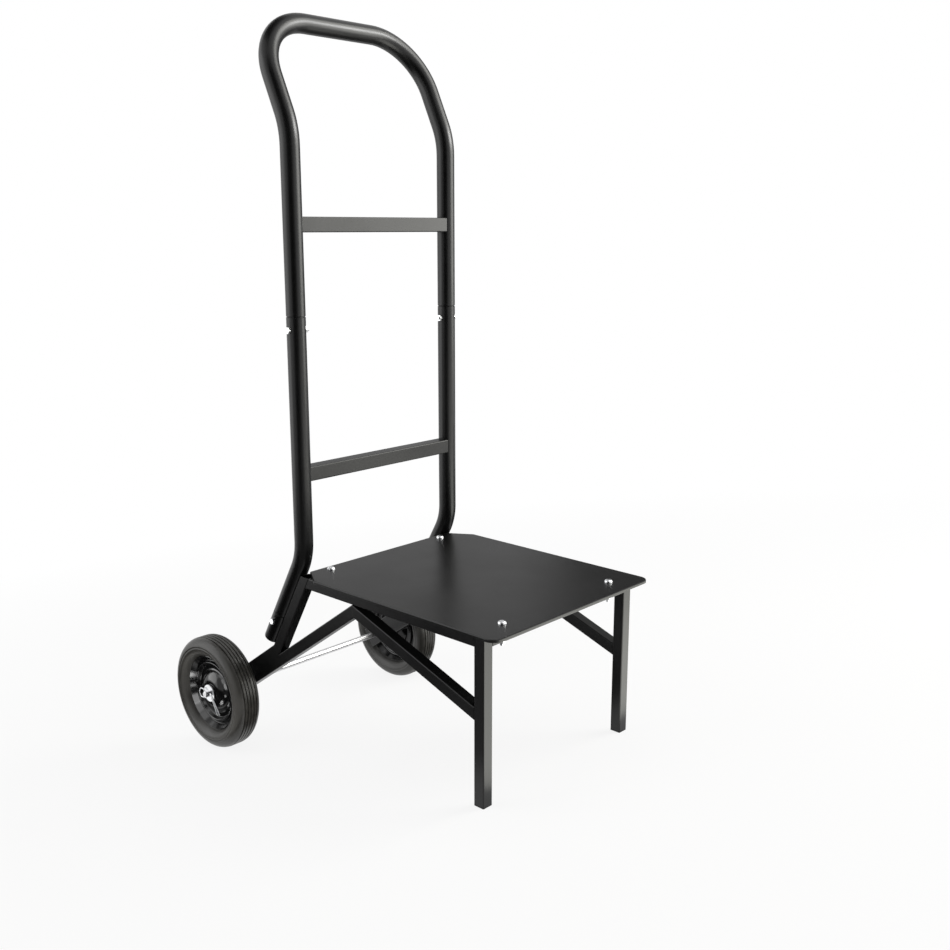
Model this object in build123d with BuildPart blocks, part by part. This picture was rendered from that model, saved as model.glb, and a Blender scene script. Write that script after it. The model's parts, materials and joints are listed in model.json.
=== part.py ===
from build123d import *
import os
from math import asin, atan2, cos, degrees, hypot, radians, sin, sqrt, tan

# A two-wheeled cart for stacked chairs: a bent-tube handle, two lower tubes,
# and a base of square tubes with a load plate, front legs and a wheel axle.
# Every size is in millimetres. The cart's own directions are: across (X), along (Y,
# from the front legs to the wheels) and up (Z, along the uprights from the soles of
# the feet). The empty cart leans forward on its feet, so the whole model stands on
# one tilted plane, and the floor is Z = 0.

# Handle and uprights
tube_d = 32.0
tube_wall = 1.5
upright_spacing = 352.0
handle_bend_height = 1013.5
handle_bend_angle = 25.1
handle_bend_r = 126.0
handle_arm = 193.1
handle_corner_r = 102.0
handle_joint_height = 718.0

# Lower tubes and the stubs that they plug into
foot_bend_height = 310.0
foot_bend_angle = 29.7
foot_bend_r = 100.0
foot_run = 133.0
stub_length = 63.0

# Plug joints between tubes
joint_groove = 0.8
joint_edge = 0.8
spigot_length = 48.0
spigot_root = 8.0
spigot_wall = 1.5
spigot_fit = 0.1

# Crossbars between the uprights
bar_side = 25.0
bar_wall = 1.5
bar_edge_r = 2.0
upper_bar_height = 864.3
lower_bar_height = 454.1

# Base frame of square tubes
side = 20.0
side_wall = 1.5
side_edge_r = 1.8
leg_front = 425.0
leg_joint_height = 160.6
strut_angle = 35.0
arm_height = 40.0
arm_tail = 24.0

# Foot plugs
foot_flange = 3.0
foot_insert = 16.0
foot_fit = 0.1
foot_edge_r = 1.0

# Load plate
deck_height = 281.3
plate_thickness = 5.0
plate_side = 11.5
plate_overhang = 31.0
plate_gap = 1.5
plate_corner_r = 18.0
plate_cut_across = 29.5
plate_cut_along = 46.0
plate_cut_r = 4.0
plate_edge_r = 1.5
plate_bolt_inset = 41.5
rear_rail_inset = 16.5

# Bolts and nuts
bolt_d = 6.0
bolt_play = 0.3
thread_fit = 0.05
dome_d = 14.0
dome_height = 4.5
dome_rim = 0.7
nut_across = 10.0
nut_sides = 6
nut_height = 5.0
head_height = 4.0
bolt_tail = 4.0
handle_bolt_drop = 22.0
stub_bolt_drop = 19.0

# Axle and what holds the wheels on it
axle_d = 12.0
axle_along = 208.0
axle_up = 18.0
axle_fit = 0.15
axle_edge = 1.0
pin_ahead = 3.2
axle_end = 6.5
washer_d = 32.0
washer_thickness = 2.0
spacer_wall = 3.0
hub_play = 0.3

# Split pin
pin_wire = 1.8
pin_leg_gap = 0.2
pin_hole_play = 0.2
pin_angle = -8.0
pin_clear = 1.0
pin_eye_length = 19.0
pin_neck_share = 0.25
pin_crown_share = 0.75
pin_eye_half = 8.5
pin_eye_r = 4.0
pin_fold = 65.0
pin_fold_clear = 5.0
pin_long_leg = 42.0
pin_short_leg = 39.0
pin_spread = 2.5
pin_bend_r = 4.0

# Wheels
wheel_d = 210.0
tyre_gap = 15.5
tyre_width = 52.0
tyre_shoulder_r = 17.0
tyre_shoulder_share = 0.63
tyre_crown_share = 0.75
tyre_wall_r = 17.0
tyre_wall_share = 0.36
tyre_wall_rise = 7.5
groove_count = 5
groove_pitch = 6.4
groove_mouth = 2.2
groove_floor = 1.0
groove_depth = 2.2
side_groove_r = 5.0
side_groove_depth = 0.7
hub_length = 33.0
bush_wall = 5.0
bush_play = 0.08
press_gap = 0.02

# Pressed rim halves, as radii and as distances out from the wheel's middle
rim_sheet = 2.0
rim_seat_half = 3.0
rim_lip_r = 69.0
rim_lip_out = 14.5
rim_well_r = 62.0
rim_well_out = 4.0
rim_crest_r = 55.0
rim_crest_width = 2.6
rim_crest_out = 9.5
rim_crest_slope = 2.0
rim_valley_r = 50.0
rim_valley_width = 7.5
rim_valley_out = 2.4
rim_dome_r = 40.0
rim_dome_out = 3.4
rim_dome_bulge = 3.6
rim_face_r = 18.0
rim_press_r = 1.5
hub_proud = 1.0

# Places that follow from the sizes above
tube_r = tube_d / 2
tube_bore_r = tube_r - tube_wall
frame_x = upright_spacing / 2
rail_top = deck_height - plate_thickness
rail_bottom = rail_top - side
leg_rear = leg_front - side
hole_r = bolt_d / 2 + bolt_play
wheel_r = wheel_d / 2
axle_r = axle_d / 2
axle_hole_r = axle_r + axle_fit
axle_place = (axle_along, axle_up)
arm_face_x = frame_x + side / 2
wheel_x = arm_face_x + tyre_gap + tyre_width / 2
bush_r = axle_r + bush_play + bush_wall
washer_in_x = wheel_x - hub_length / 2 - hub_play - washer_thickness
washer_out_x = wheel_x + hub_length / 2 + hub_play
pin_x = washer_out_x + washer_thickness + pin_ahead
axle_half = pin_x + axle_end

# The lean that sets the wheels and the front edges of the feet on the floor
axle_reach = leg_front + axle_along
lean = asin(wheel_r / hypot(axle_reach, axle_up)) - atan2(axle_up, axle_reach)
front_reach = (
    (leg_front + plate_overhang - plate_edge_r) * cos(lean)
    + (deck_height - plate_edge_r) * sin(lean)
    + plate_edge_r
)
rear_reach = axle_along * cos(lean) - axle_up * sin(lean) + wheel_r
stand = Plane(
    origin=(0, (front_reach - rear_reach) / 2, leg_front * sin(lean)),
    x_dir=(1, 0, 0),
    z_dir=(0, -sin(lean), cos(lean)),
)
across = stand.x_dir
along = stand.y_dir
up = stand.z_dir
up_axis = Axis(stand.origin, up)
sides = {"left": -1, "right": 1}


# Planes of the leaning cart
def flank(x):
    """Upright plane that faces across, its own axes being along and up."""
    return Plane(origin=stand.from_local_coords((x, 0, 0)), x_dir=along, z_dir=across)


def level(height):
    """Plane of the load plate's tilt at a height above the soles."""
    return stand.offset(height)


# Lines of the side view, each a point and a direction in (along, up)
def crossing(line_a, line_b):
    """Point where two lines of the side view meet."""
    (ay, az), (uy, uz) = line_a
    (by, bz), (vy, vz) = line_b
    share = ((by - ay) * vz - (bz - az) * vy) / (uy * vz - uz * vy)
    return (ay + share * uy, az + share * uz)


def beside(line, distance):
    """The same line moved sideways, to the left of its direction."""
    (ay, az), (uy, uz) = line
    return ((ay - uz * distance, az + uy * distance), (uy, uz))


def square_to(line, point):
    """Line through a point, square to another line."""
    uy, uz = line[1]
    return (point, (-uz, uy))


def strip(line, low, high, start, end):
    """Corners of the strip along a line, between two offsets and two end lines."""
    near = beside(line, low)
    far = beside(line, high)
    return [crossing(near, start), crossing(near, end), crossing(far, end), crossing(far, start)]


# Centre line of the lower tubes, past their bend, and the post that touches it
foot_dir = (sin(radians(foot_bend_angle)), -cos(radians(foot_bend_angle)))
foot_line = ((0, foot_bend_height), foot_dir)
post_rear = beside(foot_line, -tube_r)
post_front = beside(post_rear, -side)

# Axle arm and rear strut, which share one lower edge
arm_dir = (cos(radians(strut_angle)), -sin(radians(strut_angle)))
arm_middle = (axle_place, arm_dir)
arm_bottom = beside(arm_middle, -arm_height / 2)
arm_top = beside(arm_middle, arm_height / 2)
strut_top = beside(arm_bottom, side)
arm_corner = crossing(arm_top, post_rear)
arm_front = square_to(arm_middle, arm_corner)
arm_back = square_to(
    arm_middle, (axle_along + arm_tail * arm_dir[0], axle_up + arm_tail * arm_dir[1])
)

# Side rail and front strut
rail_under = ((0, rail_bottom), (1, 0))
rail_over = ((0, rail_top), (1, 0))
leg_back = ((-leg_rear, 0), (0, 1))
apex = crossing(strut_top, rail_under)
front_fall = hypot(apex[0] + leg_rear, rail_bottom - leg_joint_height)
front_dir = ((apex[0] + leg_rear) / front_fall, (rail_bottom - leg_joint_height) / front_fall)
front_top = (apex, front_dir)
front_bottom = beside(front_top, -side)
crotch = crossing(front_bottom, arm_bottom)
mitre = (apex, (apex[0] - crotch[0], apex[1] - crotch[1]))

# Rim flange in the wheel's section, a point and a direction in (radius, out)
flange_run = hypot(rim_lip_r - rim_well_r, rim_lip_out - rim_well_out)
flange_line = (
    (rim_well_r, rim_well_out),
    ((rim_lip_r - rim_well_r) / flange_run, (rim_lip_out - rim_well_out) / flange_run),
)
flange_back = beside(flange_line, -rim_sheet)
lip_back = crossing(flange_back, square_to(flange_line, (rim_lip_r, rim_lip_out)))
seat_edge = crossing(flange_back, ((0, rim_seat_half), (1, 0)))
rim_seat_r = seat_edge[0]

# Tyre's side, from the lip to the tread, which limits the radii at its two ends
tyre_half = tyre_width / 2
wall_foot_r = lip_back[0] + tyre_wall_rise
wall_turn = atan2(tyre_half - lip_back[1], tyre_wall_rise)
shoulder_r = min(
    tyre_shoulder_r,
    tyre_shoulder_share * (wheel_r - wall_foot_r),
    tyre_crown_share * tyre_half,
)
wall_r = min(tyre_wall_r, tyre_wall_share * (wheel_r - wall_foot_r) / tan(wall_turn / 2))


def tread_point(out):
    """Point on the rounded tread, at a distance out from the wheel's middle."""
    beyond = max(0, abs(out) - (tyre_half - shoulder_r))
    return (wheel_r - shoulder_r + sqrt(shoulder_r**2 - beyond**2), out)


# Tyre's grooves: a tread groove's section about the tread, and a shallow ring on each side
groove_places = [tread_point((i - (groove_count - 1) / 2) * groove_pitch) for i in range(groove_count)]
groove_flare = (groove_mouth - groove_floor) / 2
groove_outline = [
    (-groove_depth, -groove_floor / 2),
    (groove_depth, -groove_floor / 2 - 2 * groove_flare),
    (groove_depth, groove_floor / 2 + 2 * groove_flare),
    (-groove_depth, groove_floor / 2),
]
side_groove_ring = wheel_r - shoulder_r
side_groove_out = tyre_half + side_groove_r - side_groove_depth

# The load plate stops just ahead of the lower tubes
plate_rear = crossing(post_rear, ((0, deck_height), (1, 0)))[0] - plate_gap
plate_front = -leg_front - plate_overhang
front_rail_along = -leg_front + side / 2
rear_rail_along = plate_rear - rear_rail_inset


def save(builder, label):
    """Name a finished piece and write it as its own file."""
    builder.part.label = label
    export_step(builder.part, f"parts/{label}.step")


def run_axis(direction):
    """Axis along a direction of the side view, to pick a tube's long edges."""
    return Axis(stand.origin, along * direction[0] + up * direction[1])


def square_tube(label, x, outer, inner, direction):
    """Hollow tube of the base frame, from its outline and bore in the side view."""
    with BuildPart() as tube:
        with BuildSketch(flank(x - side / 2)):
            with BuildLine():
                Polyline(*outer, close=True)
            make_face()
        extrude(amount=side)
        fillet(tube.edges().filter_by(run_axis(direction)), radius=side_edge_r)
        with BuildSketch(flank(x - side / 2 + side_wall)):
            with BuildLine():
                Polyline(*inner, close=True)
            make_face()
        extrude(amount=side - 2 * side_wall, mode=Mode.SUBTRACT)
    save(tube, label)


def upright_path(*points, radius):
    """Filleted centre line through points given as (across, along, up)."""
    with BuildLine(stand) as path:
        FilletPolyline(*points, radius=radius)
    return path.line


def ring_sweep(path, outer_r, inner_r):
    """Sweep a tube's round section along its centre line."""
    with BuildSketch(Plane(origin=path @ 0, z_dir=path % 0)) as ring:
        Circle(outer_r)
        Circle(inner_r, mode=Mode.SUBTRACT)
    sweep(ring.sketch, path=path)


def cross_hole(place, radius):
    """Hole right across the cart at a place in the side view."""
    with BuildSketch(flank(0)) as hole:
        with Locations(place):
            Circle(radius)
    extrude(hole.sketch, amount=frame_x + tube_d, both=True, mode=Mode.SUBTRACT)


def spigot(face_plane):
    """Reduced tube end that plugs into the next tube, past the face it grows from."""
    plug_r = tube_bore_r - spigot_fit
    with BuildSketch(face_plane) as plug:
        Circle(plug_r)
        Circle(plug_r - spigot_wall, mode=Mode.SUBTRACT)
    extrude(plug.sketch, amount=spigot_length)
    with BuildSketch(face_plane) as root:
        Circle(tube_bore_r)
        Circle(plug_r - spigot_wall, mode=Mode.SUBTRACT)
    extrude(root.sketch, amount=-spigot_root)


os.makedirs("parts", exist_ok=True)
handle_bolt_place = (0, handle_joint_height - handle_bolt_drop)
stub_bolt_run = foot_run + stub_bolt_drop
stub_bolt_place = (foot_dir[0] * stub_bolt_run, foot_bend_height + foot_dir[1] * stub_bolt_run)

# Handle tube, with a spigot at each foot
arm_rise = radians(handle_bend_angle)
handle_top = (handle_arm * sin(arm_rise), handle_bend_height + handle_arm * cos(arm_rise))
handle_path = upright_path(
    (-frame_x, 0, handle_joint_height),
    (-frame_x, 0, handle_bend_height),
    (-frame_x, *handle_top),
    (frame_x, *handle_top),
    (frame_x, 0, handle_bend_height),
    (frame_x, 0, handle_joint_height),
    radius=[handle_bend_r, handle_corner_r, handle_corner_r, handle_bend_r],
)
with BuildPart() as handle_tube:
    ring_sweep(handle_path, tube_r, tube_bore_r)
    end_rims = handle_tube.edges().group_by(up_axis)[0]
    chamfer(end_rims.filter_by(lambda rim: rim.radius > tube_bore_r + tube_wall / 2), joint_edge)
    for x in (-frame_x, frame_x):
        foot = stand.from_local_coords((x, 0, handle_joint_height))
        spigot(Plane(origin=foot, x_dir=across, z_dir=-up))
    cross_hole(handle_bolt_place, hole_r)
save(handle_tube, "handle_tube")

# Lower tubes and their stubs
foot_end = (foot_dir[0] * foot_run, foot_bend_height + foot_dir[1] * foot_run)
stub_start = tuple(foot_end[i] + foot_dir[i] * joint_groove for i in range(2))
foot_vector = along * foot_dir[0] + up * foot_dir[1]
lower_tube_top = handle_joint_height - joint_groove
for name, hand in sides.items():
    x = hand * frame_x
    lower_path = upright_path(
        (x, 0, lower_tube_top),
        (x, 0, foot_bend_height),
        (x, *foot_end),
        radius=[foot_bend_r],
    )
    with BuildPart() as lower_tube:
        ring_sweep(lower_path, tube_r, tube_bore_r)
        end_rims = lower_tube.edges().filter_by(GeomType.CIRCLE)
        end_rims = end_rims.filter_by(lambda rim: rim.radius > tube_bore_r + tube_wall / 2)
        chamfer(end_rims.sort_by(up_axis)[-1], joint_edge)
        chamfer(lower_tube.faces().sort_by(up_axis)[0].edges().sort_by(SortBy.RADIUS)[-1], joint_edge)
        spigot(Plane(origin=stand.from_local_coords((x, *foot_end)), x_dir=across, z_dir=foot_vector))
        cross_hole(handle_bolt_place, hole_r)
        cross_hole(stub_bolt_place, hole_r)
    save(lower_tube, f"{name}_lower_tube")

    with BuildPart() as stub_tube:
        with BuildSketch(
            Plane(origin=stand.from_local_coords((x, *stub_start)), x_dir=across, z_dir=foot_vector)
        ):
            Circle(tube_r)
            Circle(tube_bore_r, mode=Mode.SUBTRACT)
        extrude(amount=stub_length - joint_groove)
        chamfer(stub_tube.faces().sort_by(up_axis)[-1].edges().sort_by(SortBy.RADIUS)[-1], joint_edge)
        cross_hole(stub_bolt_place, hole_r)
    save(stub_tube, f"{name}_stub_tube")

# Crossbars, coped to the uprights
for label, height in (("upper_crossbar", upper_bar_height), ("lower_crossbar", lower_bar_height)):
    with BuildPart() as crossbar:
        with BuildSketch(flank(0)):
            with Locations((0, height)):
                RectangleRounded(bar_side, bar_side, bar_edge_r)
                Rectangle(bar_side - 2 * bar_wall, bar_side - 2 * bar_wall, mode=Mode.SUBTRACT)
        extrude(amount=frame_x, both=True)
        with BuildSketch(level(height)):
            with GridLocations(upright_spacing, bar_side, 2, 1):
                Circle(tube_r)
        extrude(amount=bar_side, both=True, mode=Mode.SUBTRACT)
    save(crossbar, label)

# Base frame, one side at a time
for name, hand in sides.items():
    x = hand * frame_x

    leg_line = ((-leg_front, 0), (0, 1))
    sole_line = ((0, foot_flange), (1, 0))
    square_tube(
        f"{name}_front_leg",
        x,
        strip(leg_line, -side, 0, sole_line, rail_over),
        strip(leg_line, side_wall - side, -side_wall, sole_line, rail_over),
        leg_line[1],
    )

    square_tube(
        f"{name}_side_rail",
        x,
        strip(rail_under, 0, side, leg_back, post_front),
        strip(rail_under, side_wall, side - side_wall, leg_back, post_front),
        rail_under[1],
    )

    square_tube(
        f"{name}_front_strut",
        x,
        strip(front_top, -side, 0, leg_back, mitre),
        strip(front_top, side_wall - side, -side_wall, leg_back, mitre),
        front_dir,
    )

    square_tube(
        f"{name}_rear_strut",
        x,
        strip(strut_top, -side, 0, mitre, arm_front),
        strip(strut_top, side_wall - side, -side_wall, mitre, arm_front),
        arm_dir,
    )

    post_outline = [
        crossing(post_rear, rail_over),
        crossing(post_front, rail_over),
        crossing(post_front, strut_top),
        crossing(arm_front, strut_top),
        arm_corner,
    ]
    square_tube(
        f"{name}_rear_post",
        x,
        post_outline,
        strip(post_rear, side_wall - side, -side_wall, rail_over, arm_front),
        foot_dir,
    )

    with BuildPart() as axle_arm:
        with BuildSketch(flank(x - side / 2)):
            with BuildLine():
                Polyline(*strip(arm_bottom, 0, arm_height, arm_front, arm_back), close=True)
            make_face()
        extrude(amount=side)
        fillet(axle_arm.edges().filter_by(run_axis(arm_dir)), radius=side_edge_r)
        with BuildSketch(flank(x - side / 2 + side_wall)):
            with BuildLine():
                Polyline(
                    *strip(
                        arm_bottom,
                        side_wall,
                        arm_height - side_wall,
                        beside(arm_front, -side_wall),
                        beside(arm_back, side_wall),
                    ),
                    close=True,
                )
            make_face()
        extrude(amount=side - 2 * side_wall, mode=Mode.SUBTRACT)
        cross_hole(axle_place, axle_hole_r)
    save(axle_arm, f"{name}_axle_arm")

    with BuildPart() as foot_plug:
        with BuildSketch(level(0)):
            with Locations((x, -leg_front + side / 2)):
                RectangleRounded(side, side, side_edge_r)
        extrude(amount=foot_flange)
        with BuildSketch(level(foot_flange)):
            with Locations((x, -leg_front + side / 2)):
                plug_side = side - 2 * side_wall - 2 * foot_fit
                RectangleRounded(plug_side, plug_side, foot_edge_r)
        extrude(amount=foot_insert)
    save(foot_plug, f"{name}_foot_plug")

# Cross rails under the load plate, drilled for its bolts
rail_span = upright_spacing - side
plate_bolt_x = frame_x - plate_bolt_inset
for label, place in (("front_cross_rail", front_rail_along), ("rear_cross_rail", rear_rail_along)):
    with BuildPart() as cross_rail:
        with BuildSketch(flank(0)):
            with Locations((place, (rail_top + rail_bottom) / 2)):
                RectangleRounded(side, side, side_edge_r)
                Rectangle(side - 2 * side_wall, side - 2 * side_wall, mode=Mode.SUBTRACT)
        extrude(amount=rail_span / 2, both=True)
        with BuildSketch(level(rail_top)):
            with Locations((-plate_bolt_x, place), (plate_bolt_x, place)):
                Circle(hole_r)
        extrude(amount=-side, mode=Mode.SUBTRACT)
    save(cross_rail, label)

# Load plate
bolt_places = [
    (x, y)
    for x in (-plate_bolt_x, plate_bolt_x)
    for y in (front_rail_along, rear_rail_along)
]
plate_half = frame_x + side / 2 + plate_side
with BuildPart() as load_plate:
    with BuildSketch(level(rail_top)) as plate_outline:
        with BuildLine():
            Polyline(
                (-plate_half, plate_front),
                (plate_half, plate_front),
                (plate_half, plate_rear - plate_cut_along),
                (plate_half - plate_cut_across, plate_rear),
                (-plate_half + plate_cut_across, plate_rear),
                (-plate_half, plate_rear - plate_cut_along),
                close=True,
            )
        make_face()
        corners = plate_outline.vertices().sort_by(Axis.Y)
        fillet(corners[:2], radius=plate_corner_r)
        fillet(plate_outline.vertices().sort_by(Axis.Y)[-4:], radius=plate_cut_r)
    extrude(amount=plate_thickness)
    fillet(load_plate.faces().sort_by(up_axis)[-1].edges(), radius=plate_edge_r)
    with BuildSketch(level(rail_top)):
        with Locations(*bolt_places):
            Circle(hole_r)
    extrude(amount=plate_thickness, mode=Mode.SUBTRACT)
save(load_plate, "load_plate")

# Bolts with domed heads that hold the plate on its cross rails, and their nuts
with BuildPart() as plate_bolts:
    with BuildSketch(level(deck_height)):
        with Locations(*bolt_places):
            Circle(dome_d / 2)
    extrude(amount=dome_height)
    tops = plate_bolts.edges().group_by(up_axis)[-1]
    fillet(tops, radius=dome_height - dome_rim)
    with BuildSketch(level(deck_height)):
        with Locations(*bolt_places):
            Circle(bolt_d / 2)
    extrude(amount=-(plate_thickness + side + nut_height + bolt_tail))
save(plate_bolts, "plate_bolts")

with BuildPart() as plate_nuts:
    with BuildSketch(level(rail_bottom)):
        with Locations(*bolt_places):
            RegularPolygon(nut_across / 2, nut_sides, major_radius=False)
            Circle(bolt_d / 2 + thread_fit, mode=Mode.SUBTRACT)
    extrude(amount=-nut_height)
save(plate_nuts, "plate_nuts")


def tube_bolts(label, place):
    """Hex bolts across both uprights at a place, heads outboard, and their nuts."""
    with BuildPart() as bolts:
        for hand in sides.values():
            outside = hand * (frame_x + tube_r)
            with BuildSketch(flank(outside)):
                with Locations(place):
                    RegularPolygon(nut_across / 2, nut_sides, major_radius=False)
            extrude(amount=hand * head_height)
            with BuildSketch(flank(outside)):
                with Locations(place):
                    Circle(bolt_d / 2)
            extrude(amount=-hand * (tube_d + nut_height + bolt_tail))
    save(bolts, f"{label}_bolts")

    with BuildPart() as nuts:
        for hand in sides.values():
            with BuildSketch(flank(hand * (frame_x - tube_r))):
                with Locations(place):
                    RegularPolygon(nut_across / 2, nut_sides, major_radius=False)
                    Circle(bolt_d / 2 + thread_fit, mode=Mode.SUBTRACT)
            extrude(amount=-hand * nut_height)
    save(nuts, f"{label}_nuts")


tube_bolts("handle", handle_bolt_place)
tube_bolts("stub", stub_bolt_place)

# Axle rod, drilled near each end for a split pin
pin_leg = (pin_wire + pin_leg_gap) / 2
pin_hole_r = pin_leg + pin_wire / 2 + pin_hole_play
pin_run = along * cos(radians(pin_angle)) + up * sin(radians(pin_angle))
with BuildPart() as axle:
    with BuildSketch(flank(-axle_half)):
        with Locations(axle_place):
            Circle(axle_r)
    extrude(amount=2 * axle_half)
    chamfer(axle.edges().filter_by(GeomType.CIRCLE), axle_edge)
    for hand in sides.values():
        pin_middle = stand.from_local_coords((hand * pin_x, *axle_place))
        with BuildSketch(Plane(origin=pin_middle, x_dir=across, z_dir=pin_run)):
            Circle(pin_hole_r)
        extrude(amount=axle_d, both=True, mode=Mode.SUBTRACT)
save(axle, "axle")


def axle_rings(label, radius, starts, length):
    """Plain rings round the axle, each from its start outwards."""
    with BuildPart() as rings:
        for hand in sides.values():
            for start in starts:
                with BuildSketch(flank(hand * start)):
                    with Locations(axle_place):
                        Circle(radius)
                        Circle(axle_hole_r, mode=Mode.SUBTRACT)
                extrude(amount=hand * length)
    save(rings, label)


axle_rings("axle_spacers", axle_hole_r + spacer_wall, [arm_face_x], washer_in_x - arm_face_x)
axle_rings("axle_washers", washer_d / 2, [washer_in_x, washer_out_x], washer_thickness)

# Split pins: an eye, two legs through the axle, and their spread ends
pin_out = axle_r + pin_clear
pin_neck = pin_eye_length * pin_neck_share
pin_crown = pin_eye_length * pin_crown_share
fold_back = cos(radians(pin_fold))
fold_down = sin(radians(pin_fold))
fold_step = pin_leg * tan(radians(pin_fold) / 2)
fold_out = axle_r + pin_fold_clear


def leg_tip(fold_along, leg_side, length):
    """End of a pin leg past its fold, a little apart from the other leg."""
    return (
        fold_along - length * fold_back - leg_side * pin_spread * fold_down,
        leg_side * pin_leg - length * fold_down + leg_side * pin_spread * fold_back,
    )


pin_points = [
    leg_tip(-fold_out - fold_step, 1, pin_long_leg),
    (-fold_out - fold_step, pin_leg),
    (pin_out, pin_leg),
    (pin_out + pin_neck, pin_eye_half),
    (pin_out + pin_crown, pin_eye_half),
    (pin_out + pin_eye_length, 0),
    (pin_out + pin_crown, -pin_eye_half),
    (pin_out + pin_neck, -pin_eye_half),
    (pin_out, -pin_leg),
    (-fold_out + fold_step, -pin_leg),
    leg_tip(-fold_out + fold_step, -1, pin_short_leg),
]
eye_radii = [pin_eye_r] * (len(pin_points) - 4)
pin_radii = [pin_bend_r + pin_leg, *eye_radii, pin_bend_r - pin_leg]
with BuildPart() as cotter_pins:
    for hand in sides.values():
        pin_middle = stand.from_local_coords((hand * pin_x, *axle_place))
        with BuildLine(Plane(origin=pin_middle, x_dir=pin_run, z_dir=across)) as pin_path:
            FilletPolyline(*pin_points, radius=pin_radii)
        with BuildSketch(Plane(origin=pin_path.line @ 0, z_dir=pin_path.line % 0)):
            Circle(pin_wire / 2)
        sweep(path=pin_path.line)
save(cotter_pins, "cotter_pins")


def rim_half(label, plane, spin, out):
    """Pressed rim half on one side of the wheel's middle, as a turned profile."""
    crest_near = rim_crest_r - rim_crest_width / 2
    crest_far = rim_crest_r + rim_crest_width / 2
    valley_inner = rim_valley_r - rim_valley_width
    face_out = hub_length / 2 - hub_proud
    dome_middle = (rim_dome_r + rim_face_r) / 2
    dome_middle_out = (rim_dome_out + face_out) / 2 + rim_dome_bulge
    bore_r = bush_r + press_gap
    shown = [
        (rim_lip_r, rim_lip_out),
        (rim_well_r, rim_well_out),
        (crest_far + rim_crest_slope, rim_well_out),
        (crest_far, rim_crest_out),
        (crest_near, rim_crest_out),
        (rim_valley_r, rim_valley_out),
        (valley_inner, rim_valley_out),
        (rim_dome_r, rim_dome_out),
    ]
    hidden = [
        (rim_dome_r, rim_dome_out - rim_sheet),
        (valley_inner, rim_valley_out - rim_sheet),
        (rim_valley_r, rim_valley_out - rim_sheet),
        (rim_seat_r - rim_sheet, rim_well_out - rim_sheet),
        (rim_seat_r - rim_sheet, 0),
        (rim_seat_r, 0),
        seat_edge,
        lip_back,
        (rim_lip_r, rim_lip_out),
    ]
    with BuildPart() as rim:
        with BuildSketch(plane):
            with BuildLine():
                FilletPolyline(*[(r, out * t) for r, t in shown], radius=rim_press_r)
                ThreePointArc(
                    (rim_dome_r, out * rim_dome_out),
                    (dome_middle, out * dome_middle_out),
                    (rim_face_r, out * face_out),
                )
                Polyline(
                    (rim_face_r, out * face_out),
                    (bore_r, out * face_out),
                    (bore_r, out * (face_out - rim_sheet)),
                    (rim_face_r, out * (face_out - rim_sheet)),
                )
                ThreePointArc(
                    (rim_face_r, out * (face_out - rim_sheet)),
                    (dome_middle, out * (dome_middle_out - rim_sheet)),
                    (rim_dome_r, out * (rim_dome_out - rim_sheet)),
                )
                Polyline(*[(r, out * t) for r, t in hidden])
            make_face()
        revolve(axis=spin)
    save(rim, label)


# Wheels: tyre, two rim halves and a bush that runs on the axle
for name, hand in sides.items():
    hub_middle = stand.from_local_coords((hand * wheel_x, *axle_place))
    section = Plane(origin=hub_middle, x_dir=along, z_dir=up * -hand)
    spin = Axis(hub_middle, across)

    tyre_outline = [
        (seat_edge[0], -seat_edge[1]),
        seat_edge,
        lip_back,
        (wall_foot_r, tyre_half),
        (wheel_r, tyre_half),
        (wheel_r, -tyre_half),
        (wall_foot_r, -tyre_half),
        (lip_back[0], -lip_back[1]),
    ]
    tyre_radii = [0, 0, 0, wall_r, shoulder_r, shoulder_r, wall_r, 0]
    with BuildPart() as tyre:
        with BuildSketch(section):
            with BuildLine():
                FilletPolyline(*tyre_outline, radius=tyre_radii, close=True)
            make_face()
        revolve(axis=spin)
        with BuildSketch(section):
            with Locations(*groove_places):
                Polygon(*groove_outline, align=None)
            with Locations((side_groove_ring, side_groove_out), (side_groove_ring, -side_groove_out)):
                Circle(side_groove_r)
        revolve(axis=spin, mode=Mode.SUBTRACT)
    save(tyre, f"{name}_tyre")

    rim_half(f"{name}_outer_rim", section, spin, 1)
    rim_half(f"{name}_inner_rim", section, spin, -1)

    with BuildPart() as hub_bush:
        with BuildSketch(flank(hand * wheel_x)):
            with Locations(axle_place):
                Circle(bush_r)
                Circle(axle_r + bush_play, mode=Mode.SUBTRACT)
        extrude(amount=hub_length / 2, both=True)
    save(hub_bush, f"{name}_hub_bush")

print(f"lean {degrees(lean):.2f} degrees, stand at {stand.origin}")
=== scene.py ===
import json
import math

import bpy
from mathutils import Matrix, Vector

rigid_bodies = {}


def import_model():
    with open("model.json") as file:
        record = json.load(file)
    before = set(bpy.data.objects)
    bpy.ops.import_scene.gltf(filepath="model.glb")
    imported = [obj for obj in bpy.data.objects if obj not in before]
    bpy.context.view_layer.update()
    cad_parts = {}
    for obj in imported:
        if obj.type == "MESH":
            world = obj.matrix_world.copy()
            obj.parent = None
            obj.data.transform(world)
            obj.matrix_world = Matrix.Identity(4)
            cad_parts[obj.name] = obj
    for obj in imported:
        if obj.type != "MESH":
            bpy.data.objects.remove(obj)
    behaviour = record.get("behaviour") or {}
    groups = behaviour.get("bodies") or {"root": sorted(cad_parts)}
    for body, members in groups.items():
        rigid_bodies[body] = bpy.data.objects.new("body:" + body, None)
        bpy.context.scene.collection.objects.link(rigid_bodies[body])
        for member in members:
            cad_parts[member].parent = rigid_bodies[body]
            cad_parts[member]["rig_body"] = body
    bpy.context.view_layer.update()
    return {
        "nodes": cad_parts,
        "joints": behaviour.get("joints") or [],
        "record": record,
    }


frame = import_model()
nodes = frame["nodes"]
slots = {part["node"]: part["material_slot"] for part in frame["record"]["subparts"]}
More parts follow.
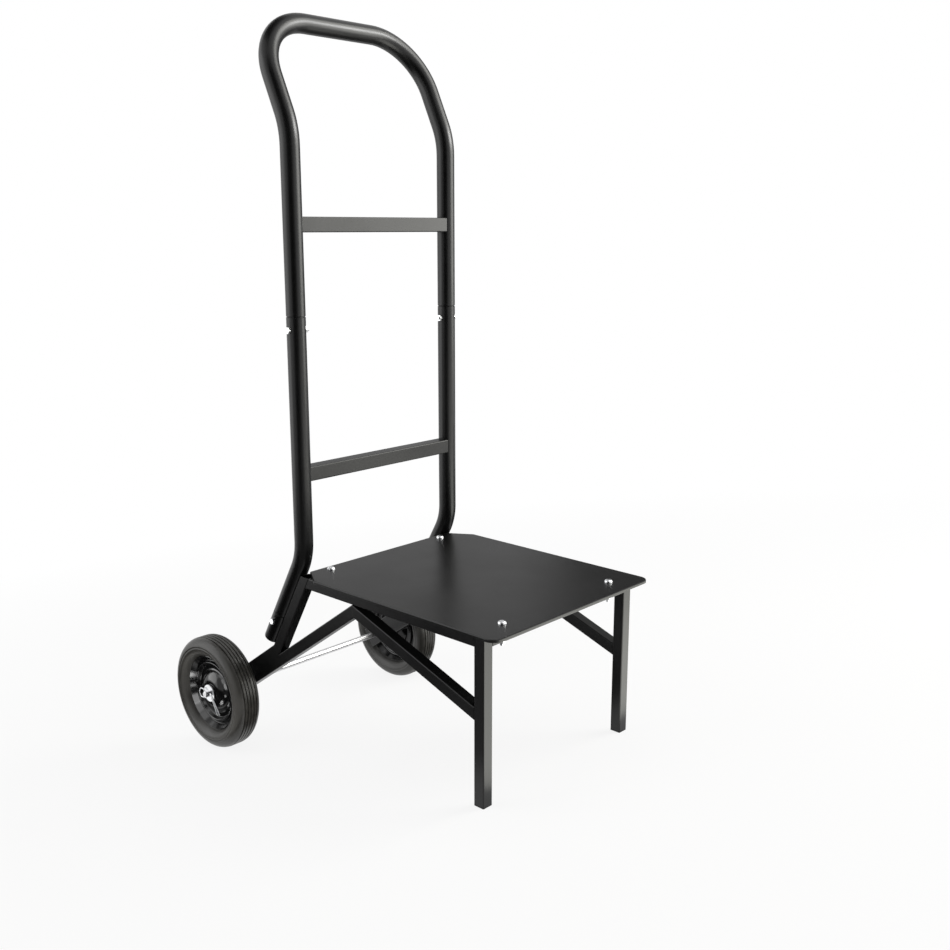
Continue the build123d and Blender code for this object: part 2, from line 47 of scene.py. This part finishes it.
hubs = {joint["child"]: Vector(joint["pos_m"]) for joint in frame["joints"]}

# The empty cart leans forward on its feet; the camera's axes are those for an upright cart, its place is not
LEAN = math.radians(7.9155)
CAMERA_PLACE = (-1.3031, -1.4540, 0.7118)
CAMERA_RIGHT = (0.67880, -0.73432, 0.0)
CAMERA_UP = (0.16156, 0.14935, 0.97550)
LENS_MM = 41.60
SENSOR_MM = 36.0
VIEW_REACH = 200.0

# Paint on frame and plate, and the tyres' moulding rings, tread and dust; lengths in metres
PAINT_SPECULAR = 0.38
PEEL_DEPTH = 0.00003
# Lighter grey put in patches along the paint's sharp edges, and its largest share
EDGE_GREY = (0.16, 0.16, 0.155)
EDGE_SHARE = 0.35
RING_PITCH = 0.0042
TREAD_START = 0.1015
TREAD_END = 0.1045
DUST_COLOUR = (0.09, 0.086, 0.079)
DUST_SHARE = 0.5

# Floor and surroundings: white as seen, with a shadow near the cart, and dimmer as sources of light
FLOOR_SIZE = 80.0
FLOOR_GREY = 0.8
GLOW_NEAR = 0.87
GLOW_NEAR_END = 0.7
GLOW_FULL_START = 2.6
SKY_LIGHT = 0.35

# Heights of cards and lamps that lie on the floor, one card over another's edge, and what lamps face
CARD_Z = 0.002
OVER_CARD_Z = 0.003
LAMP_Z = 0.004
LAMP_AIM_Z = 1.0
MIDDLE = (0.0, 0.0, 0.62)
GRIP = (0.0, 0.0, 1.25)


def empty_tree(owner):
    """Cleared node tree of a material or world."""
    owner.use_nodes = True
    owner.node_tree.nodes.clear()
    return owner.node_tree


def new_material(name):
    """Empty node material: returns it with its tree, shader and object coordinates."""
    material = bpy.data.materials.new(name)
    tree = empty_tree(material)
    output = tree.nodes.new("ShaderNodeOutputMaterial")
    shader = tree.nodes.new("ShaderNodeBsdfPrincipled")
    tree.links.new(shader.outputs["BSDF"], output.inputs["Surface"])
    coords = tree.nodes.new("ShaderNodeTexCoord").outputs["Object"]
    return material, tree, shader, coords


def noise(tree, coords, scale, detail=2.0, rough=0.5):
    """Noise value, with the scale in cells a metre."""
    node = tree.nodes.new("ShaderNodeTexNoise")
    node.inputs["Scale"].default_value = scale
    node.inputs["Detail"].default_value = detail
    node.inputs["Roughness"].default_value = rough
    tree.links.new(coords, node.inputs["Vector"])
    return node.outputs["Fac"]


def spread(tree, value, low, high, start=0.3, end=0.7):
    """A value's range mapped to another, with its ends cut off."""
    node = tree.nodes.new("ShaderNodeMapRange")
    node.inputs["From Min"].default_value = start
    node.inputs["From Max"].default_value = end
    node.inputs["To Min"].default_value = low
    node.inputs["To Max"].default_value = high
    tree.links.new(value, node.inputs["Value"])
    return node.outputs["Result"]


def math_node(tree, operation, first, second=0.0):
    """One sum on a value, with a number or another value as its second term."""
    node = tree.nodes.new("ShaderNodeMath")
    node.operation = operation
    for socket, value in zip(node.inputs, (first, second)):
        if isinstance(value, (int, float)):
            socket.default_value = value
        else:
            tree.links.new(value, socket)
    return node.outputs["Value"]


def vector_node(tree, operation, first, second=None):
    """One sum on a vector, with a fixed vector or another socket as its second term."""
    node = tree.nodes.new("ShaderNodeVectorMath")
    node.operation = operation
    tree.links.new(first, node.inputs[0])
    if isinstance(second, bpy.types.NodeSocket):
        tree.links.new(second, node.inputs[1])
    elif second is not None:
        node.inputs[1].default_value = second
    return node.outputs["Value" if operation in ("LENGTH", "DOT_PRODUCT") else "Vector"]


def blend_colours(tree, factor, first, second):
    """Mix of two colours, each a tuple or a socket."""
    node = tree.nodes.new("ShaderNodeMix")
    node.data_type = "RGBA"
    tree.links.new(factor, node.inputs["Factor"])
    for socket, value in ((node.inputs[6], first), (node.inputs[7], second)):
        if isinstance(value, tuple):
            socket.default_value = (*value, 1.0)
        else:
            tree.links.new(value, socket)
    return node.outputs[2]


def mottle(tree, value, dark, light):
    """Colour that wanders between two tones with a noise value."""
    return blend_colours(tree, spread(tree, value, 0.0, 1.0), dark, light)


def add_bump(tree, shader, height, distance, strength=1.0, before=None):
    """Bump from a height value, on top of an earlier bump if there is one."""
    node = tree.nodes.new("ShaderNodeBump")
    node.inputs["Strength"].default_value = strength
    node.inputs["Distance"].default_value = distance
    tree.links.new(height, node.inputs["Height"])
    if before is not None:
        tree.links.new(before, node.inputs["Normal"])
    tree.links.new(node.outputs["Normal"], shader.inputs["Normal"])
    return node.outputs["Normal"]


def edge_mask(tree, radius, low, high):
    """One where a surface turns sharply within the radius, nought where it is flat."""
    bevel = tree.nodes.new("ShaderNodeBevel")
    bevel.samples = 6
    bevel.inputs["Radius"].default_value = radius
    plain = tree.nodes.new("ShaderNodeNewGeometry").outputs["Normal"]
    likeness = vector_node(tree, "DOT_PRODUCT", bevel.outputs["Normal"], plain)
    return spread(tree, likeness, 1.0, 0.0, low, high)


def powder_coat(name, dark, light, roughness, peel):
    """Satin powder coat: orange peel of so many cells a metre, uneven sheen and noisy patches of lighter
    grey along sharp edges.
    """
    material, tree, shader, coords = new_material(name)
    broad = noise(tree, coords, scale=9.0, detail=4.0)
    fine = noise(tree, coords, scale=peel, detail=3.0, rough=0.6)
    chips = noise(tree, coords, scale=60.0, detail=5.0, rough=0.7)
    edges = edge_mask(tree, radius=0.0012, low=0.8, high=0.97)
    # Lighter grey in noisy patches along sharp edges
    lighter_edges = math_node(tree, "MULTIPLY", edges, spread(tree, chips, 0.0, EDGE_SHARE, 0.45, 0.7))
    colour = blend_colours(tree, lighter_edges, mottle(tree, broad, dark, light), EDGE_GREY)
    sheen = spread(tree, broad, roughness - 0.03, roughness + 0.04)
    tree.links.new(colour, shader.inputs["Base Color"])
    tree.links.new(sheen, shader.inputs["Roughness"])
    shader.inputs["Specular IOR Level"].default_value = PAINT_SPECULAR
    add_bump(tree, shader, fine, PEEL_DEPTH)
    return material


def plated_steel(name, dark, light, roughness, grain):
    """Bright plated or drawn steel with faint lines, stretched by the grain, and cloudy patches."""
    material, tree, shader, coords = new_material(name)
    stretch = tree.nodes.new("ShaderNodeMapping")
    stretch.inputs["Scale"].default_value = grain
    tree.links.new(coords, stretch.inputs["Vector"])
    lines = noise(tree, stretch.outputs["Vector"], scale=900.0, detail=3.0)
    cloud = noise(tree, coords, scale=160.0, detail=4.0, rough=0.6)
    sheen = spread(tree, lines, roughness - 0.06, roughness + 0.1)
    tree.links.new(mottle(tree, cloud, dark, light), shader.inputs["Base Color"])
    tree.links.new(sheen, shader.inputs["Roughness"])
    shader.inputs["Metallic"].default_value = 1.0
    add_bump(tree, shader, lines, distance=0.00002)
    return material


def radius_from(tree, coords, hub):
    """Distance of a point from a wheel's axle line, in metres."""
    offset = vector_node(tree, "SUBTRACT", coords, hub)
    across = vector_node(tree, "MULTIPLY", offset, (0.0, 1.0, 1.0))
    return vector_node(tree, "LENGTH", across)


def tyre_rubber(name, hub):
    """Dark grey rubber: moulding rings on the side, fine grain and dust on the tread."""
    material, tree, shader, coords = new_material(name)
    radius = radius_from(tree, coords, hub)
    rings = math_node(tree, "SINE", math_node(tree, "MULTIPLY", radius, 2 * math.pi / RING_PITCH))
    grain = noise(tree, coords, scale=1400.0, detail=3.0, rough=0.6)
    patch = noise(tree, coords, scale=28.0, detail=5.0, rough=0.6)
    specks = noise(tree, coords, scale=90.0, detail=6.0, rough=0.7)
    tread = spread(tree, radius, 0.0, 1.0, TREAD_START, TREAD_END)
    dust = math_node(tree, "MULTIPLY", tread, spread(tree, specks, 0.0, DUST_SHARE, 0.4, 0.7))
    rubber = mottle(tree, patch, dark=(0.0195, 0.0187, 0.0168), light=(0.0290, 0.0279, 0.0252))
    tree.links.new(blend_colours(tree, dust, rubber, DUST_COLOUR), shader.inputs["Base Color"])
    tree.links.new(spread(tree, patch, 0.29, 0.38), shader.inputs["Roughness"])
    shader.inputs["Specular IOR Level"].default_value = 0.44
    grained = add_bump(tree, shader, grain, distance=0.00004)
    add_bump(tree, shader, rings, distance=0.00005, strength=0.5, before=grained)
    return material


def gloss_paint(name):
    """Gloss black stove enamel on the pressed rims."""
    material, tree, shader, coords = new_material(name)
    broad = noise(tree, coords, scale=35.0, detail=4.0)
    fine = noise(tree, coords, scale=420.0)
    colour = mottle(tree, broad, dark=(0.0016, 0.0016, 0.0017), light=(0.003, 0.003, 0.0031))
    tree.links.new(colour, shader.inputs["Base Color"])
    tree.links.new(spread(tree, broad, 0.13, 0.17), shader.inputs["Roughness"])
    shader.inputs["Specular IOR Level"].default_value = 0.35
    add_bump(tree, shader, fine, distance=0.00003)
    return material


def moulded_plastic(name, dark, light):
    """Matt moulded plastic with a spark-eroded grain."""
    material, tree, shader, coords = new_material(name)
    patch = noise(tree, coords, scale=120.0, detail=4.0)
    grain = noise(tree, coords, scale=2200.0)
    tree.links.new(mottle(tree, patch, dark, light), shader.inputs["Base Color"])
    tree.links.new(spread(tree, patch, 0.5, 0.62), shader.inputs["Roughness"])
    shader.inputs["Specular IOR Level"].default_value = 0.3
    add_bump(tree, shader, grain, distance=0.00004)
    return material


# Materials of the CAD nodes, by the record's slots; each tyre's is centred on its own hub
looks = {
    "frame_paint": powder_coat(
        "frame_paint", dark=(0.0022, 0.0022, 0.0023), light=(0.0036, 0.0036, 0.0037),
        roughness=0.32, peel=900.0,
    ),
    "plate_paint": powder_coat(
        "plate_paint", dark=(0.0035, 0.0035, 0.0035), light=(0.006, 0.006, 0.0058),
        roughness=0.30, peel=1500.0,
    ),
    "zinc": plated_steel(
        "zinc", dark=(0.78, 0.79, 0.81), light=(0.90, 0.91, 0.92),
        roughness=0.27, grain=(1.0, 1.0, 1.0),
    ),
    "axle_steel": plated_steel(
        "axle_steel", dark=(0.62, 0.62, 0.63), light=(0.78, 0.78, 0.79),
        roughness=0.30, grain=(0.004, 0.5, 0.5),
    ),
    "rim_paint": gloss_paint("rim_paint"),
    "bush_nylon": moulded_plastic("bush_nylon", dark=(0.03, 0.03, 0.03), light=(0.045, 0.045, 0.045)),
    "plug_plastic": moulded_plastic("plug_plastic", dark=(0.01, 0.01, 0.01), light=(0.018, 0.018, 0.018)),
}
tyre_looks = {body: tyre_rubber(f"{body}_rubber", hub) for body, hub in hubs.items()}

for name, node in nodes.items():
    look = tyre_looks[node["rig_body"]] if slots[name] == "tyre" else looks[slots[name]]
    node.data.materials.clear()
    node.data.materials.append(look)


def seen_rays(tree):
    """One for rays that show a surface to the camera, straight or by way of gloss and glass."""
    path = tree.nodes.new("ShaderNodeLightPath").outputs
    indirect = math_node(tree, "MAXIMUM", path["Is Glossy Ray"], path["Is Transmission Ray"])
    return math_node(tree, "MAXIMUM", path["Is Camera Ray"], indirect)


def even_glow(tree, tone):
    """Shader of one even grey that no lamp changes."""
    node = tree.nodes.new("ShaderNodeEmission")
    node.inputs["Color"].default_value = (tone, tone, tone, 1.0)
    node.inputs["Strength"].default_value = 1.0
    return node.outputs["Emission"]


def rectangle(name, width, height, look):
    """Flat rectangle about the origin, in the scene."""
    x = width / 2
    y = height / 2
    mesh = bpy.data.meshes.new(name)
    mesh.from_pydata([(-x, -y, 0), (x, -y, 0), (x, y, 0), (-x, y, 0)], [], [(0, 1, 2, 3)])
    mesh.materials.append(look)
    piece = bpy.data.objects.new(name, mesh)
    bpy.context.scene.collection.objects.link(piece)
    return piece


# Floor
floor_look = bpy.data.materials.new("floor")
tree = empty_tree(floor_look)
output = tree.nodes.new("ShaderNodeOutputMaterial")
matt = tree.nodes.new("ShaderNodeBsdfDiffuse")
matt.inputs["Color"].default_value = (FLOOR_GREY, FLOOR_GREY, FLOOR_GREY, 1.0)
distance = vector_node(tree, "LENGTH", tree.nodes.new("ShaderNodeTexCoord").outputs["Object"])
glow_share = spread(tree, distance, GLOW_NEAR, 1.0, GLOW_NEAR_END, GLOW_FULL_START)
mix = tree.nodes.new("ShaderNodeMixShader")
tree.links.new(math_node(tree, "MULTIPLY", seen_rays(tree), glow_share), mix.inputs["Fac"])
tree.links.new(matt.outputs["BSDF"], mix.inputs[1])
tree.links.new(even_glow(tree, 1.0), mix.inputs[2])
tree.links.new(mix.outputs["Shader"], output.inputs["Surface"])
floor = rectangle("floor", FLOOR_SIZE, FLOOR_SIZE, floor_look)

# Surroundings
world = bpy.data.worlds.new("studio")
bpy.context.scene.world = world
tree = empty_tree(world)
output = tree.nodes.new("ShaderNodeOutputWorld")
sky = tree.nodes.new("ShaderNodeBackground")
sky.inputs["Color"].default_value = (1.0, 1.0, 1.0, 1.0)
tree.links.new(spread(tree, seen_rays(tree), SKY_LIGHT, 1.0, 0.0, 1.0), sky.inputs["Strength"])
tree.links.new(sky.outputs["Background"], output.inputs["Surface"])


def softbox(name, place, aim, width, height, power, tint=(1.0, 1.0, 1.0), shape="RECTANGLE"):
    """Soft lamp of so many watts at a place, facing a point."""
    lamp = bpy.data.lights.new(name, "AREA")
    lamp.shape = shape
    lamp.size = width
    lamp.size_y = height
    lamp.energy = power
    lamp.color = tint
    holder = bpy.data.objects.new(name, lamp)
    holder.location = place
    holder.rotation_euler = (Vector(aim) - Vector(place)).to_track_quat("-Z", "Y").to_euler()
    holder.visible_camera = False
    bpy.context.scene.collection.objects.link(holder)
    return holder


def floor_lamp(name, x, y, width, height, power, **finish):
    """Soft lamp that lies on the floor and shines straight up."""
    return softbox(name, (x, y, LAMP_Z), (x, y, LAMP_AIM_Z), width, height, power, **finish)


def link_lamps(lamps, names, state="INCLUDE"):
    """Light only the named nodes by each lamp, or all but them with the state EXCLUDE."""
    for lamp in lamps:
        group = bpy.data.collections.new(f"{lamp.name}_nodes")
        for name in names:
            group.objects.link(nodes[name])
        for entry in group.collection_objects:
            entry.light_linking.link_state = state
        lamp.light_linking.receiver_collection = group


# Main lamps; the plate's flat top and the handle's bends would throw two of them back as a glare
key_lamp = softbox(
    "right_softbox", (1.96, -1.79, 1.5), MIDDLE, width=1.8, height=3.2, power=98.0, tint=(1.0, 0.995, 0.94)
)
top_lamp = softbox("top_softbox", (0.0, 0.2, 3.4), MIDDLE, width=2.0, height=2.0, power=16.0)
softbox("left_softbox", (-1.95, 1.65, 1.4), MIDDLE, width=2.0, height=3.0, power=26.0)
floor_lamp("floor_bounce", 0.45, -0.88, width=1.2, height=1.04, power=11.0, tint=(1.0, 1.0, 0.92))
link_lamps([key_lamp], ["load_plate"], "EXCLUDE")
link_lamps([top_lamp], ["handle_tube"], "EXCLUDE")

# Lamps for the sheen of single pieces: the handle, the plate, the lowest bolts and the hubs' metal
handle_lamp = softbox("handle_softbox", (1.55, -1.72, 1.74), GRIP, width=1.0, height=0.6, power=36.0)
plate_lamps = [
    softbox("plate_left_softbox", (-1.0, -1.0, 1.3), MIDDLE, width=2.0, height=2.0, power=10.0),
    softbox("plate_top_softbox", (0.0, 0.6, 3.0), MIDDLE, width=1.6, height=1.6, power=6.4),
]
bolt_lamp = floor_lamp("bolt_bounce", -0.8, 1.1, width=0.6, height=0.6, power=2.5)
hub_lamp = floor_lamp("hub_bounce", -0.43, 0.62, width=0.40, height=0.60, power=0.85)
link_lamps([handle_lamp], ["handle_tube"])
link_lamps(plate_lamps, ["load_plate"])
link_lamps([bolt_lamp], ["stub_bolts"])
link_lamps([hub_lamp], ["axle", "axle_washers", "cotter_pins"])

# Lamps for the tyres and for the gloss of the rims
near_hub = hubs["left_wheel"]
warm = {"tint": (1.0, 0.975, 0.92)}
tyre_lamps = [
    softbox("tyre_softbox", (-1.25, -0.25, 0.55), near_hub, width=1.2, height=1.0, power=1.7, **warm),
    floor_lamp("tyre_bounce", -0.70, 0.10, width=0.8, height=0.8, power=2.0, **warm),
]
oval = {"shape": "ELLIPSE"}
rim_lamps = [
    softbox("rim_low_softbox", (-1.06, -0.58, 0.45), near_hub, width=0.6, height=0.6, power=7.0, **oval),
    softbox("rim_middle_softbox", (-0.96, -0.26, 0.85), near_hub, width=0.6, height=0.6, power=4.0, **oval),
    softbox("rim_high_softbox", (-0.80, 0.20, 1.20), near_hub, width=0.6, height=0.6, power=2.0, **oval),
    softbox("rim_back_softbox", (-1.30, 1.35, 0.80), near_hub, width=1.5, height=1.4, power=12.0, **oval),
    floor_lamp("rim_floor_glint", -0.33, 0.29, width=0.06, height=0.05, power=0.12, **oval),
    floor_lamp("dome_floor_glint", -0.42, 0.14, width=0.06, height=0.06, power=0.12, **oval),
]
link_lamps(tyre_lamps, [name for name in nodes if slots[name] == "tyre"])
link_lamps(rim_lamps, [name for name in nodes if slots[name] == "rim_paint"])


def painted_reflection_card(name, place, width, height, tone, facing=None):
    """Card of one even glowing grey that only reflections show, a painted dark or grey reflection on glossy
    parts: flat, or upright and facing so many degrees round.
    """
    look = bpy.data.materials.new(name)
    tree = empty_tree(look)
    output = tree.nodes.new("ShaderNodeOutputMaterial")
    # The card glows by its own grey as a painted reflection; it is no lamp
    tree.links.new(even_glow(tree, tone), output.inputs["Surface"])
    card = rectangle(name, width, height, look)
    card.location = place
    if facing is not None:
        card.rotation_euler = (math.pi / 2, 0, math.radians(facing))
    card.visible_camera = False
    card.visible_diffuse = False
    card.visible_shadow = False


# Painted reflections: glowing cards beside the camera, behind the cart, on the floor and overhead, seen only
# in reflections
painted_reflection_card("camera_card", (-1.15, -1.10, 1.6), width=1.8, height=3.2, tone=0.005, facing=-47.2)
painted_reflection_card("right_back_card", (2.68, 0.65, 1.6), width=1.7, height=2.8, tone=0.12, facing=107)
painted_reflection_card("left_back_card", (1.65, 2.10, 1.6), width=2.0, height=2.8, tone=0.5, facing=144)
painted_reflection_card("front_floor_card", (-1.25, -0.45, CARD_Z), width=1.9, height=1.1, tone=0.2)
painted_reflection_card("rear_floor_card", (-1.40, 0.85, CARD_Z), width=1.6, height=1.5, tone=0.005)
painted_reflection_card("wheel_floor_card", (-0.455, 0.51, OVER_CARD_Z), width=0.35, height=0.82, tone=0.005)
painted_reflection_card("right_floor_card", (1.40, 0.20, CARD_Z), width=1.6, height=2.0, tone=0.08)
painted_reflection_card("overhead_card", (0.05, 0.50, 3.2), width=1.7, height=2.2, tone=0.02)
painted_reflection_card("under_card", (0.05, -0.02, CARD_Z), width=0.55, height=0.44, tone=0.005)

# Camera, turned with the cart's lean so that the cart stands in the picture as photographed
tilt = Matrix.Rotation(LEAN, 3, "X")
right = tilt @ Vector(CAMERA_RIGHT)
up = tilt @ Vector(CAMERA_UP)
turn = Matrix((right, up, right.cross(up))).transposed().to_4x4()
camera_data = bpy.data.cameras.new("camera")
camera_data.sensor_width = SENSOR_MM
camera_data.lens = LENS_MM
camera_data.clip_end = VIEW_REACH
camera = bpy.data.objects.new("camera", camera_data)
camera.matrix_world = Matrix.Translation(CAMERA_PLACE) @ turn
bpy.context.scene.collection.objects.link(camera)
bpy.context.scene.camera = camera
bpy.context.scene.view_settings.view_transform = "Standard"
